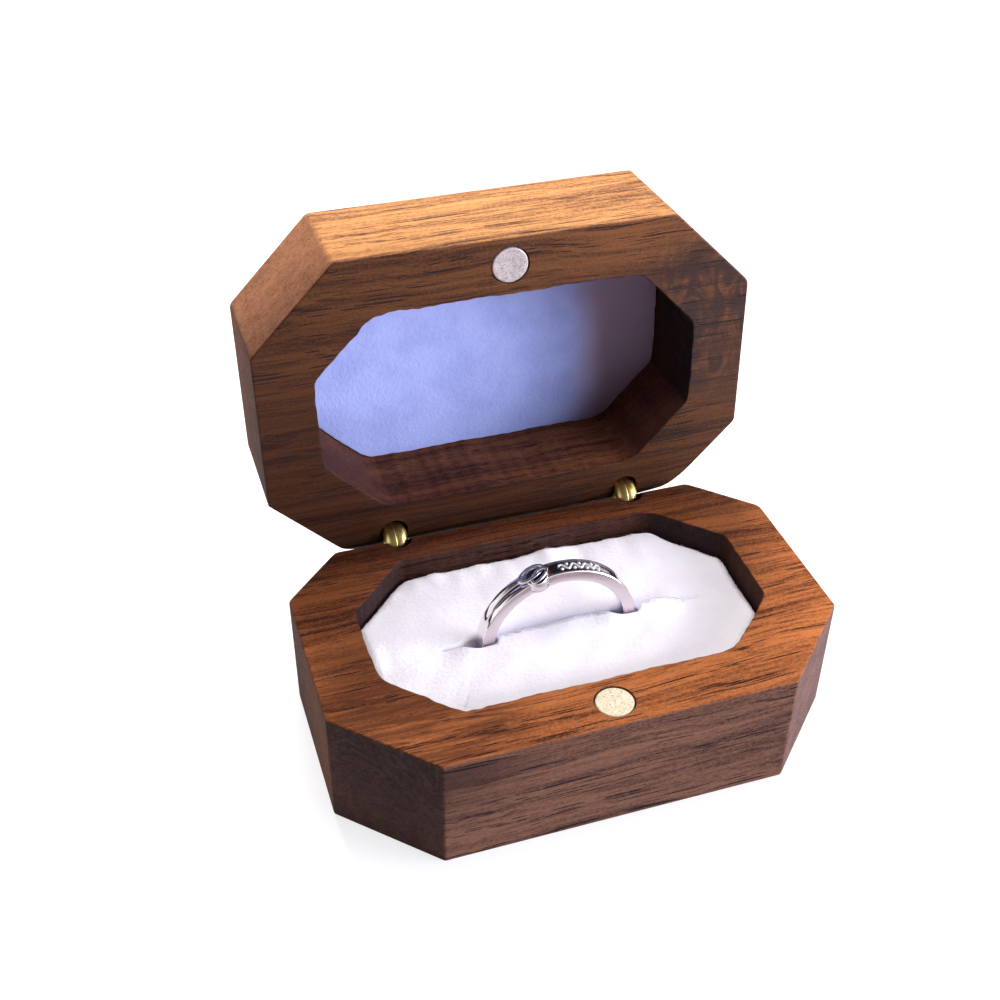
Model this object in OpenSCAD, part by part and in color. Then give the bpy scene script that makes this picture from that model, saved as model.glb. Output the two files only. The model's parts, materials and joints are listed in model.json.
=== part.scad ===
// Ring display box: an eight-sided walnut box, shown open, with a slit cushion that holds one ring.
// Millimetres. The origin is the centre of the underside, +X runs along the length,
// +Y points to the hinge side and +Z points up.

/* [Outline] */
// Length of the box, along X
box_w = 70; // [62:0.5:90]
// Depth of the box, front to hinge side
box_d = 46; // [42:0.5:60]
// How far each upright corner is cut back along both sides
corner_cut = 11.6; // [9:0.2:14]
// Radius that the upright outer edges are sanded to
edge_round = 0.6; // [0.3:0.1:1.2]
// Small flat sanded along the top and bottom outer edges
edge_ease = 0.35; // [0.1:0.05:0.8]

/* [Walls] */
// Wall left around the routed recess, front, back and ends
wall = 8; // [6.5:0.1:9]
// Wall left behind the corner cuts
corner_wall = 9.1; // [7:0.1:11]
// Radius that the router leaves in the recess corners
recess_round = 3; // [1:0.25:4]

/* [Base] */
// Height of the base
base_h = 17.6; // [16:0.2:26]
// Wood left under the base recess
base_floor = 2.4; // [1.6:0.1:4]
// Bevel along the base's top edge at the hinge side
base_bevel = 3.5; // [3.4:0.1:4.6]

/* [Lid] */
// Height of the lid
lid_h = 16.7; // [14:0.2:24]
// Wood left above the lid recess
lid_top = 3; // [2:0.1:4]
// Bevel along the lid's rim edge at the hinge side
lid_bevel = 2.1; // [2:0.1:4.6]
// Gap between the two rims when the lid is shut
closed_gap = 0.15; // [0.1:0.05:0.4]

/* [Hinges] */
// Distance between the two barrel hinges
hinge_spacing = 35.4; // [24:0.2:44]
// Distance from the back face to the barrel centres
hinge_setback = 3.2; // [3:0.1:3.6]
// Diameter of a hinge barrel
barrel_d = 4; // [3.6:0.1:4.2]
// Length of a hinge barrel, dome included
barrel_len = 7.5; // [6:0.25:10]
// Clearance around a barrel in its drilled hole
barrel_fit = 0.05; // [0.02:0.01:0.1]
// Depth of the glue grooves around a barrel
groove_depth = 0.15; // [0.1:0.05:0.25]
// Width of a glue groove
groove_w = 0.4; // [0.2:0.1:0.6]
// Depth of a hinge pin's centre below the rim
pin_depth = 1.75; // [1.6:0.05:1.9]
// Diameter of a hinge pin
pin_d = 0.8; // [0.6:0.05:1]
// Length of a hinge pin
pin_len = 3.7; // [3:0.1:3.8]
// Radial clearance of a pin where it is held in a barrel
pin_fit = 0.02; // [0.01:0.01:0.04]
// Radial clearance of a pin in the links that turn on it
pin_run = 0.04; // [0.02:0.01:0.08]
// Thickness of one link plate
link_t = 0.65; // [0.5:0.05:0.75]
// Width of a link plate, and the diameter of its round ends
link_w = 2.2; // [1.8:0.1:2.4]
// Gap beside each link plate in its slot
link_gap = 0.05; // [0.03:0.01:0.1]
// Clearance under a link's round end in its slot
slot_end_gap = 0.15; // [0.1:0.05:0.4]
// Degrees that the links turn about the base pins, from shut to open
link_angle = 66; // [50:1:66]
// Degrees that the lid turns about its own pins, from shut to open
lid_angle = 27.3; // [20:0.1:27.3]

/* [Magnets] */
// Diameter of a clasp magnet
magnet_d = 5; // [4:0.5:6]
// Thickness of a clasp magnet
magnet_t = 2; // [1:0.5:3]
// Distance from the front face to the magnet centres
magnet_setback = 3.9; // [3.4:0.1:4.4]
// Clearance around a magnet in its hole
magnet_fit = 0.06; // [0.03:0.01:0.15]
// How far a magnet lies below the rim
magnet_sink = 0.05; // [0:0.01:0.2]
// Small flat around a magnet's edges
magnet_ease = 0.15; // [0.1:0.05:0.3]

/* [Cushion] */
// Distance from the rim down to the top of the cushion
cushion_drop = 3; // [2:0.1:5]
// Gap between the cushion and the recess walls
cushion_fit = 0.3; // [0.2:0.05:0.6]
// Thickness of the velvet
velvet_t = 0.5; // [0.3:0.05:0.8]
// Thickness of the stiff card under the foam, and of the lid's card
card_t = 0.4; // [0.3:0.05:0.8]
// Distance of the slit's middle from the box's centre line, towards the front
slit_forward = 0.9; // [0:0.1:3]
// Distance of the slit's middle to the right of the centre
slit_right = 1; // [0:0.1:3]
// Room in the slit past each side of the ring
slit_end_room = 7; // [4:0.2:9]
// Gap between the ring's band and each wall of the slit
slit_gap = 0.3; // [0.2:0.05:0.6]
// Gap between the lid's lining and the recess walls
lining_fit = 0.3; // [0.2:0.05:0.6]

/* [Ring] */
// Inside diameter of the ring
ring_bore = 18.5; // [15:0.5:20]
// Thickness of the band
ring_wall = 1.75; // [1.2:0.05:2.2]
// Width of the band
ring_w = 2.6; // [2:0.1:4]
// Distance of the ring's middle to the left of the box's centre
ring_left = 1; // [0:0.1:3]
// Gap under the ring, above the card
ring_seat_gap = 0.2; // [0.1:0.05:0.5]
// Width of the gap between the two strands of the split shoulder
strand_gap = 0.6; // [0.4:0.05:1]
// Depth of the channel sunk in the plain shoulder
channel_depth = 0.45; // [0.2:0.05:0.8]
// Width of the lip on each side of the channel
channel_lip = 0.35; // [0.25:0.05:0.5]
// Radius of a bead in the channel
bead_r = 0.32; // [0.2:0.02:0.4]
// Number of beads in the channel
bead_count = 9; // [3:1:11]
// Thickness of the wire in the knot
knot_wire = 0.7; // [0.5:0.05:0.9]
// Radius of each loop of the knot, at the middle of its wire
knot_loop = 1.15; // [0.9:0.05:1.3]
// Distance from the knot's middle to the middle of each loop
knot_spread = 0.5; // [0.3:0.05:0.7]

/* [Hidden] */
$fn = 48;
eps = 0.01;

walnut = [0.42, 0.25, 0.14];
brass = [0.80, 0.62, 0.28];
nickel = [0.80, 0.80, 0.80];
white_velvet = [0.93, 0.91, 0.95];
foam_white = [0.88, 0.87, 0.84];
card_grey = [0.70, 0.69, 0.66];
silver = [0.82, 0.82, 0.84];

// Distances from the centre to the end, corner and front faces of an eight-sided outline.
outer = [box_w / 2, (box_w / 2 + box_d / 2 - corner_cut) / sqrt(2), box_d / 2];
recess = [outer[0] - wall, outer[1] - corner_wall, outer[2] - wall];

base_recess_z = base_floor;
lid_rim_z = base_h + closed_gap;
lid_recess_depth = lid_h - lid_top;

hinge_y = box_d / 2 - hinge_setback;
hinge_x = hinge_spacing / 2;
base_pin_z = base_h - pin_depth;
lid_pin_z = lid_rim_z + pin_depth;
slot_w = 2 * link_t + 3 * link_gap;
link_offset = (link_t + link_gap) / 2;
slot_floor = pin_depth + link_w / 2 + slot_end_gap;

magnet_y = -(box_d / 2 - magnet_setback);
magnet_hole_depth = magnet_t + magnet_sink;

card_top_z = base_recess_z + card_t;
cushion_top_z = base_h - cushion_drop;
ring_r = ring_bore / 2 + ring_wall;
ring_z = card_top_z + ring_seat_gap + ring_r;
slit_w = ring_w + 2 * slit_gap;
slit_len = 2 * ring_r + 2 * slit_end_room;
slit_y = -slit_forward;

// An eight-sided outline from the distances of its faces, with rounded corners.
// Corner k lies between the faces whose normals stand at 45 k and 45 (k + 1) degrees.
function face_distance(outline, k) = outline[[0, 1, 2, 1][k % 4]];
function corner_centre(outline, r, k) =
  let (
    a = 45 * k,
    near = face_distance(outline, k) - r,
    far = face_distance(outline, k + 1) - r
  )
  [near * sin(a + 45) - far * sin(a), far * cos(a) - near * cos(a + 45)] / sin(45);
function outline_points(outline, r, steps) = [
  for (k = [0:7])
    for (i = [0:steps])
      corner_centre(outline, r, k) + r * [cos(45 * (k + i / steps)), sin(45 * (k + i / steps))]
];
function inset(outline, by) = [for (distance = outline) distance - by];

module outline_prism(outline, r, height, steps = 4) {
  linear_extrude(height) polygon(outline_points(outline, r, steps));
}

// A bar across the box with all four long edges eased; its half width is one face's distance.
module eased_bar(half, height, length) {
  rotate([90, 0, 0])
    linear_extrude(length, center = true)
      polygon([
        [-half + edge_ease, 0],
        [half - edge_ease, 0],
        [half, edge_ease],
        [half, height - edge_ease],
        [half - edge_ease, height],
        [-half + edge_ease, height],
        [-half, height - edge_ease],
        [-half, edge_ease]
      ]);
}

// The outer block: four eased bars crossed at 45 degrees, with the upright edges rounded.
module outer_block(height) {
  intersection() {
    outline_prism(outer, edge_round, height);
    intersection_for (k = [0:3])
      rotate([0, 0, 45 * k])
        eased_bar(face_distance(outer, k), height, 2 * box_w);
  }
}

// Wedge removed along the hinge-side edge of a rim at z = 0, with the wood below it.
module bevel_wedge(size) {
  rotate([90, 0, 90])
    linear_extrude(2 * box_w, center = true)
      polygon([
        [box_d / 2 - size, 0],
        [box_d / 2 - size, size],
        [box_d / 2 + size, size],
        [box_d / 2 + size, -2 * size]
      ]);
}

// Drilled from a rim at z = 0 down: two barrel holes and one magnet hole.
module rim_holes() {
  for (side = [-1, 1])
    translate([side * hinge_x, hinge_y, -barrel_len])
      cylinder(h = barrel_len + box_d, d = barrel_d + 2 * barrel_fit);
  translate([0, magnet_y, -magnet_hole_depth])
    cylinder(h = magnet_hole_depth + eps, d = magnet_d + 2 * magnet_fit);
}

// Turns what is drawn shut by an angle about a line along X, front edge upwards.
module turned(y, z, angle) {
  translate([0, y, z]) rotate([-angle, 0, 0]) translate([0, -y, -z]) children();
}

module links_open() {
  turned(hinge_y, base_pin_z, link_angle) children();
}

// Places what is drawn in the lid's own frame: rim at z = 0, wood above it.
module lid_open() {
  links_open() turned(hinge_y, lid_pin_z, lid_angle) translate([0, 0, lid_rim_z]) children();
}

module base_block() {
  color(walnut)
    difference() {
      outer_block(base_h);
      translate([0, 0, base_recess_z]) outline_prism(recess, recess_round, base_h, 6);
      translate([0, 0, base_h]) bevel_wedge(base_bevel);
      translate([0, 0, base_h]) rim_holes();
    }
}

module lid_block() {
  color(walnut)
    lid_open()
      difference() {
        outer_block(lid_h);
        translate([0, 0, lid_recess_depth - base_h - lid_h])
          outline_prism(recess, recess_round, base_h + lid_h, 6);
        mirror([0, 0, 1]) bevel_wedge(lid_bevel);
        mirror([0, 0, 1]) rim_holes();
      }
}

// A disc magnet whose outer face lies just below a rim at z = 0.
module magnet() {
  color(nickel)
    translate([0, magnet_y, -magnet_hole_depth])
      rotate_extrude()
        polygon([
          [0, 0],
          [magnet_d / 2 - magnet_ease, 0],
          [magnet_d / 2, magnet_ease],
          [magnet_d / 2, magnet_t - magnet_ease],
          [magnet_d / 2 - magnet_ease, magnet_t],
          [0, magnet_t]
        ]);
}

// A barrel with its domed head at z = 0, slotted for the links and grooved for the glue.
module barrel(side) {
  groove_step = (barrel_len - slot_floor) / 4;
  color(brass)
    translate([side * hinge_x, hinge_y, 0])
      difference() {
        union() {
          translate([0, 0, -barrel_d / 2]) sphere(d = barrel_d);
          translate([0, 0, -barrel_len]) cylinder(h = barrel_len - barrel_d / 2, d = barrel_d);
        }
        translate([-slot_w / 2, -barrel_d, -slot_floor]) cube([slot_w, 2 * barrel_d, barrel_len]);
        translate([-barrel_d, 0, -pin_depth])
          rotate([0, 90, 0]) cylinder(h = 2 * barrel_d, d = pin_d + 2 * pin_fit);
        for (k = [1:3])
          translate([0, 0, -slot_floor - k * groove_step - groove_w / 2])
            difference() {
              cylinder(h = groove_w, d = barrel_d + 1);
              translate([0, 0, -eps])
                cylinder(h = groove_w + 2 * eps, d = barrel_d - 2 * groove_depth);
            }
      }
}

// A hinge pin across the barrel, below a rim at z = 0.
module hinge_pin(side) {
  color(brass)
    translate([side * hinge_x - pin_len / 2, hinge_y, -pin_depth])
      rotate([0, 90, 0]) cylinder(h = pin_len, d = pin_d);
}

// One link plate, drawn upright between the two pins of the shut box, then swung open.
module link(side, inward) {
  reach = lid_pin_z - base_pin_z;
  color(brass)
    links_open()
      translate([side * (hinge_x - inward * link_offset) - link_t / 2, hinge_y, base_pin_z])
        rotate([90, 0, 90])
          linear_extrude(link_t)
            difference() {
              union() {
                circle(d = link_w);
                translate([0, reach]) circle(d = link_w);
                translate([-link_w / 2, 0]) square([link_w, reach]);
              }
              circle(d = pin_d + 2 * pin_run);
              translate([0, reach]) circle(d = pin_d + 2 * pin_run);
            }
}

// A slit's outline, from a low to a high level, widened by a margin on every side.
module slit(low_z, high_z, margin) {
  translate([slit_right, slit_y, (low_z + high_z) / 2])
    cube([slit_len + 2 * margin, slit_w + 2 * margin, high_z - low_z], center = true);
}

module cushion_card() {
  color(card_grey)
    translate([0, 0, base_recess_z])
      outline_prism(inset(recess, cushion_fit), recess_round - cushion_fit, card_t, 6);
}

module cushion_core(side_inset, high_z) {
  translate([0, 0, card_top_z])
    outline_prism(inset(recess, side_inset), recess_round - side_inset, high_z - card_top_z, 6);
}

module cushion_foam() {
  color(foam_white)
    difference() {
      cushion_core(cushion_fit + velvet_t, cushion_top_z - velvet_t);
      slit(card_top_z - eps, cushion_top_z, velvet_t);
    }
}

// Velvet wrapped over the foam, down its sides and down both walls of the slit.
module cushion_velvet() {
  color(white_velvet)
    difference() {
      cushion_core(cushion_fit, cushion_top_z);
      slit(card_top_z - eps, cushion_top_z + eps, 0);
      difference() {
        translate([0, 0, -eps]) cushion_core(cushion_fit + velvet_t, cushion_top_z - velvet_t + eps);
        slit(card_top_z - 2 * eps, cushion_top_z, velvet_t);
      }
    }
}

// One layer of the lid's lining, a given depth below the lid's rim.
module lining_layer(depth, thickness) {
  lid_open()
    translate([0, 0, depth - thickness])
      outline_prism(inset(recess, lining_fit), recess_round - lining_fit, thickness, 6);
}

module lid_card() {
  color(card_grey) lining_layer(lid_recess_depth, card_t);
}

module lid_velvet() {
  color(white_velvet) lining_layer(lid_recess_depth - card_t, velvet_t);
}

// Angles around the ring, seen from the front: 0 at the right, 90 at the top.
channel_angles = [42, 96];
knot_angle = 108;
split_angles = [120, 150];
bead_margin_angle = 4;
knot_lean_angle = 14;

// Places what is drawn upright at an angle around the ring, on a circle of the given radius.
module on_band(angle, radius) {
  rotate([0, 0, angle]) translate([radius, 0, 0]) rotate([0, 90, 0]) children();
}

// A stretch of a flat tube about Z, between two angles.
module band_sector(inner_r, outer_r, width, angles) {
  rotate([0, 0, angles[0]])
    rotate_extrude(angle = angles[1] - angles[0])
      translate([inner_r, -width / 2]) square([outer_r - inner_r, width]);
}

// The round-ended gap between the two strands of the split shoulder.
module strand_opening() {
  band_sector(ring_bore / 2 - ring_wall, ring_r + ring_wall, strand_gap, split_angles);
  for (angle = split_angles)
    on_band(angle, ring_bore / 2 - ring_wall) cylinder(h = 3 * ring_wall, d = strand_gap);
}

module channel() {
  band_sector(ring_r - channel_depth, ring_r + ring_wall, ring_w - 2 * channel_lip, channel_angles);
}

// Beads set to the left and right in turn along the floor of the channel.
module channel_beads() {
  first = channel_angles[0] + bead_margin_angle;
  last = channel_angles[1] - bead_margin_angle;
  zigzag = ring_w / 2 - channel_lip - bead_r;
  for (k = [0:bead_count - 1])
    on_band(first + (last - first) * k / (bead_count - 1), ring_r - channel_depth)
      translate([0, (k % 2 == 0 ? 1 : -1) * zigzag / 2, 0])
        sphere(r = bead_r);
}

// Two leaning loops of wire that cross at the crown of the ring.
module knot() {
  for (side = [-1, 1])
    on_band(knot_angle, ring_r - knot_wire / 4)
      translate([0, side * knot_spread, 0])
        rotate([side * knot_lean_angle, 0, 0])
          rotate_extrude()
            translate([knot_loop, 0]) circle(d = knot_wire, $fn = 24);
}

// The ring is drawn flat about Z and stood up in the slit.
module ring() {
  color(silver)
    translate([-ring_left, slit_y, ring_z])
      rotate([90, 0, 0])
        union() {
          difference() {
            band_sector(ring_bore / 2, ring_r, ring_w, [0, 360]);
            strand_opening();
            channel();
          }
          knot();
          channel_beads();
        }
}

base_block();
translate([0, 0, base_h]) magnet();  // base_magnet
translate([0, 0, base_h]) barrel(-1);  // hinge_barrel_base_left
translate([0, 0, base_h]) barrel(1);  // hinge_barrel_base_right
translate([0, 0, base_h]) hinge_pin(-1);  // hinge_pin_base_left
translate([0, 0, base_h]) hinge_pin(1);  // hinge_pin_base_right
cushion_card();
cushion_foam();
cushion_velvet();
link(-1, -1);  // hinge_link_left_outer
link(-1, 1);  // hinge_link_left_inner
link(1, 1);  // hinge_link_right_inner
link(1, -1);  // hinge_link_right_outer
lid_block();
lid_open() mirror([0, 0, 1]) magnet();  // lid_magnet
lid_open() mirror([0, 0, 1]) barrel(-1);  // hinge_barrel_lid_left
lid_open() mirror([0, 0, 1]) barrel(1);  // hinge_barrel_lid_right
lid_open() mirror([0, 0, 1]) hinge_pin(-1);  // hinge_pin_lid_left
lid_open() mirror([0, 0, 1]) hinge_pin(1);  // hinge_pin_lid_right
lid_card();
lid_velvet();
ring();
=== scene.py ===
"""Finish of a walnut ring display box: blocks, linings, slit cushion, hinges, magnets and ring.

Shapes are worked out in millimetres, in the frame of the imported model, and become metres
when a piece is made. The lid is worked out in its own frame, rim at z = 0 with the wood
above it, and then carried to where it stands open.
"""

import json
import math

import bmesh
import bpy
import numpy as np
from mathutils import Matrix, Vector


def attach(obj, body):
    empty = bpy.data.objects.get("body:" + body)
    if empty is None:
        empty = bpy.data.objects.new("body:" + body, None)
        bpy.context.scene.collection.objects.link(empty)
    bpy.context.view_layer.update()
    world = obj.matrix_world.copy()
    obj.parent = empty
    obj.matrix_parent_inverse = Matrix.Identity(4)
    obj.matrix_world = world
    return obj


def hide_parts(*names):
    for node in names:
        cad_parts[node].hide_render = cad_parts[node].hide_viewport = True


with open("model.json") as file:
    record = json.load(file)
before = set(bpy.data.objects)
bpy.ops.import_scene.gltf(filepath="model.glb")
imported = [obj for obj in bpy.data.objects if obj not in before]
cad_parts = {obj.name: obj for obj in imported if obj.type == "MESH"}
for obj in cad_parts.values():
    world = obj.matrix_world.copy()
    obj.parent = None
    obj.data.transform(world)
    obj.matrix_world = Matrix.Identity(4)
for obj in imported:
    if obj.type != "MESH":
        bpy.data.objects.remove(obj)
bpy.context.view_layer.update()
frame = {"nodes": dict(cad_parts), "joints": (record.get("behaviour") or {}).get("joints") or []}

MM = 0.001


# ---- places from the frame


def moved(points, place):
    """Points carried by a 4 by 4 matrix."""
    matrix = np.array(place)
    return points @ matrix[:3, :3].T + matrix[:3, 3]


def shift(*offset):
    """The matrix of a plain move."""
    return Matrix.Translation(offset)


def node_box(node, place=None):
    """Lowest and highest corner of a node in millimetres, in the row frame or a turned one."""
    vertices = frame["nodes"][node].data.vertices
    points = np.empty(len(vertices) * 3)
    vertices.foreach_get("co", points)
    points = points.reshape(-1, 3) / MM
    if place is not None:
        points = moved(points, place.inverted())
    return points.min(0), points.max(0)


def swung_open(joint_name):
    """The turn from shut to open about a hinge joint, in millimetres."""
    joint = next(j for j in frame["joints"] if j["name"] == joint_name)
    pivot = shift(*(Vector(joint["pos_m"]) / MM))
    angle = math.radians(joint["range_deg"][1])
    return pivot @ Matrix.Rotation(-angle, 4, Vector(joint["axis"])) @ pivot.inverted()


CLOSED_GAP = 0.15
HALF_W, HALF_D, BASE_H = node_box("base_block")[1]
LINKS_PLACE = swung_open("link_turn")
LID_PLACE = swung_open("lid_turn") @ LINKS_PLACE @ shift(0, 0, BASE_H + CLOSED_GAP)
LID_H = node_box("lid_block", LID_PLACE)[1][2]

# The block's outline and walls
CORNER_CUT = 11.6
EDGE_EASE = 0.26
WALL = 8.0
CORNER_WALL = 9.1
BASE_FLOOR = 2.4
LID_TOP = 3.0
BASE_BEVEL = 3.5
LID_BEVEL = 2.1
BEVEL_SOFTNESS = 0.3
MOUTH_EASE = 0.16
COLUMN_STEP = 0.42

OUTER = np.array([HALF_W, (HALF_W + HALF_D - CORNER_CUT) / math.sqrt(2), HALF_D])
RECESS = OUTER - [WALL, CORNER_WALL, WALL]

# Corner radii as sanded outside and as the router left them inside, from the right end round
BASE_CORNERS = np.array([2.0, 3.5, 2.5, 1.4, 0.8, 0.8, 0.7, 0.9])
LID_CORNERS = np.array([1.4, 17.0, 4.0, 0.9, 1.5, 1.2, 1.0, 2.0])
BASE_RADII = np.array([1.6, 5.0, 2.2, 2.4, 5.0, 1.5, 4.5, 2.8])
LID_RADII = np.array([1.7, 4.0, 4.0, 1.8, 1.7, 6.0, 3.4, 3.0])
BASE_PHASE = 0.4
LID_PHASE = 2.1

barrel_low, barrel_high = node_box("hinge_barrel_base_right")
HINGE_X, HINGE_Y = ((barrel_low + barrel_high) / 2)[:2]
BARREL_R = (barrel_high[1] - barrel_low[1]) / 2
BARREL_LEN = barrel_high[2] - barrel_low[2]

magnet_low, magnet_high = node_box("base_magnet")
MAGNET_Y = (magnet_low[1] + magnet_high[1]) / 2
MAGNET_R = (magnet_high[0] - magnet_low[0]) / 2
MAGNET_T = magnet_high[2] - magnet_low[2]
MAGNET_SINK = BASE_H - magnet_high[2]


# ---- shapes


def tube(rings, closed=False):
    """Points and faces of a tube of rings, its ends flat or its last ring joined to the first."""
    rings = np.asarray(rings)
    rows, columns = rings.shape[:2]
    row = np.arange(rows if closed else rows - 1)[:, None]
    after = (row + 1) % rows * columns
    row = row * columns
    column = np.arange(columns)
    beside = (column + 1) % columns
    corners = [row + column, row + beside, after + beside, after + column]
    faces = np.stack(corners, -1).reshape(-1, 4).tolist()
    if not closed:
        faces.append(list(range(columns))[::-1])
        faces.append(list(range((rows - 1) * columns, rows * columns)))
    return rings.reshape(-1, 3), faces


def together(parts):
    """Several shapes as one list of points and faces."""
    faces, first = [], 0
    for points, part_faces in parts:
        faces += [[first + corner for corner in face] for face in part_faces]
        first += len(points)
    return np.concatenate([points for points, _ in parts]), faces


def smooth_step(value, low, high):
    """0 below low, 1 above high, and a smooth climb between."""
    t = np.clip((value - low) / (high - low), 0, 1)
    return t * t * (3 - 2 * t)


def ways(turn):
    """Flat unit directions at angles."""
    return np.stack([np.cos(turn), np.sin(turn)], -1)


def unit(vectors):
    """Vectors made one long."""
    return vectors / np.linalg.norm(vectors, axis=1)[:, None]


def quarter_turn(steps):
    """Pairs of sine and cosine over a quarter turn in even steps."""
    return ways(np.linspace(0, math.pi / 2, steps))[:, ::-1]


def eight_sided(distances, radii, counts):
    """Points and outward normals round an eight-sided outline.

    Corner k lies between the faces whose normals stand at 45 k and 45 (k + 1) degrees. It is
    an arc about the point that lies the corner's radius inside both faces. Each straight
    side that follows is split evenly.
    """
    arc_steps = 13
    eighth = math.pi / 4
    around = distances[[0, 1, 2, 1, 0, 1, 2, 1]]
    near, far = around - radii, np.roll(around, -1) - radii
    start = eighth * np.arange(8)
    centre_x = near * np.sin(start + eighth) - far * np.sin(start)
    centre_y = far * np.cos(start) - near * np.cos(start + eighth)
    centre = np.stack([centre_x, centre_y], -1) / math.sin(eighth)
    starts = centre + radii[:, None] * ways(start)
    points, normals = [], []
    for corner, count in enumerate(counts):
        way = ways(start[corner] + eighth * np.linspace(0, 1, arc_steps))
        arc = centre[corner] + radii[corner] * way
        after = (corner + 1) % 8
        share = np.linspace(0, 1, count + 2)[1:-1, None]
        points += [arc, arc[-1] * (1 - share) + starts[after] * share]
        normals += [way, np.repeat(ways(start[after])[None], count, 0)]
    return np.concatenate(points), np.concatenate(normals)


def side_counts(distances, step):
    """How many points each straight side gets, from its length between sharp corners."""
    end, diagonal, front = distances
    front_half = diagonal * math.sqrt(2) - front
    end_half = diagonal * math.sqrt(2) - end
    slant = (end - front_half) * math.sqrt(2)
    lengths = np.array([slant, 2 * front_half, slant, 2 * end_half] * 2)
    return np.maximum(3, np.round(lengths / step)).astype(int)


def router_wander(points, phase):
    """How far the hand-held router strayed outwards at points of a recess's edge.

    Three waves cross the box at different slants and add up, with chatter at the front left.
    """
    x, y = points[..., 0], points[..., 1]
    wave = 0.08 * np.sin(0.45 * x + 0.31 * y + phase)
    wave += 0.04 * np.sin(1.15 * x - 0.95 * y + 2 * phase)
    wave += 0.03 * np.sin(2.9 * x + 2.3 * y + 3 * phase)
    chatter = 0.14 * np.exp(-((x + 18) ** 2 + (y + 12) ** 2) / 40)
    return wave + chatter * np.sin(2.6 * x) * np.sin(1.1 * x + phase)


def recess_outline(radii, step, phase, inset, outline=RECESS):
    """The recess's edge as it was routed, moved inwards by the inset, and its normals."""
    points, normals = eight_sided(RECESS, radii, side_counts(outline, step))
    return points + normals * (router_wander(points, phase) - inset)[:, None], normals


def at_level(points, level):
    """Flat points lifted to a level, or to a level for each point."""
    return np.column_stack([points, np.broadcast_to(level, len(points))])


def rows_between(points, low, high, shares):
    """Rings one above the other, at shares of the way between two levels."""
    return [at_level(points, low + (high - low) * share) for share in shares]


def over_edge(outline, out, ease, steps, level):
    """Rings up over a rounded edge, from an outline to a surface with its own level."""
    rings = []
    for s, c in quarter_turn(steps):
        points = outline - out * ease * (1 - c)
        rings.append(at_level(points, level(points) - ease * (1 - s)))
    return rings


def wood_rings(height, recess_floor, bevel, corners, radii, phase):
    """Rings of a block, from its flat face up the outside, over the rim and down the recess.

    The rim's level is its height, less a soft ramp that falls at 45 degrees from the crease
    of the hinge-side bevel. Every edge is a quarter round, and the rim's rows are spaced so
    that one of them follows the crease. Returned with them is each point's share of painted
    shade for the recess, none on the rim and full on the recess's walls and floor.
    """
    edge, edge_out = eight_sided(OUTER, corners, side_counts(OUTER, COLUMN_STEP))
    mouth, mouth_out = recess_outline(radii, COLUMN_STEP, phase, 0.0, OUTER)
    crease_y = HALF_D - bevel
    support = 0.12

    def level(points):
        past = points[:, 1] - crease_y
        return height - (past + np.sqrt(past**2 + BEVEL_SOFTNESS**2)) / 2

    rings = []
    for s, c in quarter_turn(6):
        rings.append(at_level(edge - edge_out * EDGE_EASE * (1 - s), EDGE_EASE * (1 - c)))
    low = EDGE_EASE + support
    high = level(edge) - EDGE_EASE - support
    rings += rows_between(edge, low, high, np.linspace(0, 1, 5))
    rings += over_edge(edge, edge_out, EDGE_EASE, 6, level)

    start = edge - edge_out * EDGE_EASE
    end = mouth + mouth_out * MOUTH_EASE
    run = np.maximum(start[:, 1] - end[:, 1], 1e-6)
    crossing = np.clip((start[:, 1] - crease_y) / run, 0.05, 0.9)
    shares = [crossing * before for before in (0.04, 0.5, 0.9, 0.96, 1.0)]
    shares += [crossing + (1 - crossing) * after for after in (0.035, 0.09, 0.3, 0.65, 0.97, 1.0)]
    for share in shares:
        points = start + (end - start) * share[:, None]
        rings.append(at_level(points, level(points)))

    outside = len(rings)
    for s, c in quarter_turn(6)[1:]:
        points = mouth + mouth_out * MOUTH_EASE * (1 - s)
        rings.append(at_level(points, level(points) - MOUTH_EASE * (1 - c)))
    top = height - MOUTH_EASE - support
    rings += rows_between(mouth, top, recess_floor, np.linspace(0, 1, 5))
    # Share of painted recess shade: it climbs over the mouth's eased edge and is full on the walls
    # and floor.
    routed = np.clip((np.arange(len(rings)) - outside + 1) / 3, 0, 1)
    return rings, np.repeat(routed, len(edge))


def lathe(profile, steps):
    """A profile of (radius, level) points turned about the Z axis."""
    turn = np.linspace(0, 2 * math.pi, steps, endpoint=False)
    radius, level = np.array(profile, float).T[..., None]
    return tube(np.stack([radius * np.cos(turn), radius * np.sin(turn), level + 0 * turn], -1))


def round_rod(radius, low, high, steps=48, ease=0.0):
    """A rod about Z between two levels, with its end edges eased."""
    end = radius - ease
    profile = [(end, low), (radius, low + ease), (radius, high - ease), (end, high)]
    return lathe(profile if ease else profile[1:3], steps)


def placed(part, *places):
    """A shape carried by matrices, the last one first."""
    points, faces = part
    for place in reversed(places):
        points = moved(points, place)
    return points, faces


def along_x(level=0.0):
    """Turns what stands along Z to lie along X, then lifts it to a level."""
    return shift(0, 0, level) @ Matrix.Rotation(math.pi / 2, 4, "Y")


def as_base(part):
    """Leaves a shape where the base stands."""
    return part


def as_lid(part):
    """Carries a shape drawn with its rim up at the lid's height to where the lid stands open."""
    points, faces = part
    return moved(points * [1, 1, -1] + [0, 0, LID_H], LID_PLACE), faces


HALVES = (("base", BASE_H, as_base), ("lid", LID_H, as_lid))
SIDES = ((-1, "left"), (1, "right"))


# ---- making pieces


def link_in(name, data):
    """An object of the scene that holds the data."""
    made = bpy.data.objects.new(name, data)
    bpy.context.scene.collection.objects.link(made)
    return made


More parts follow.
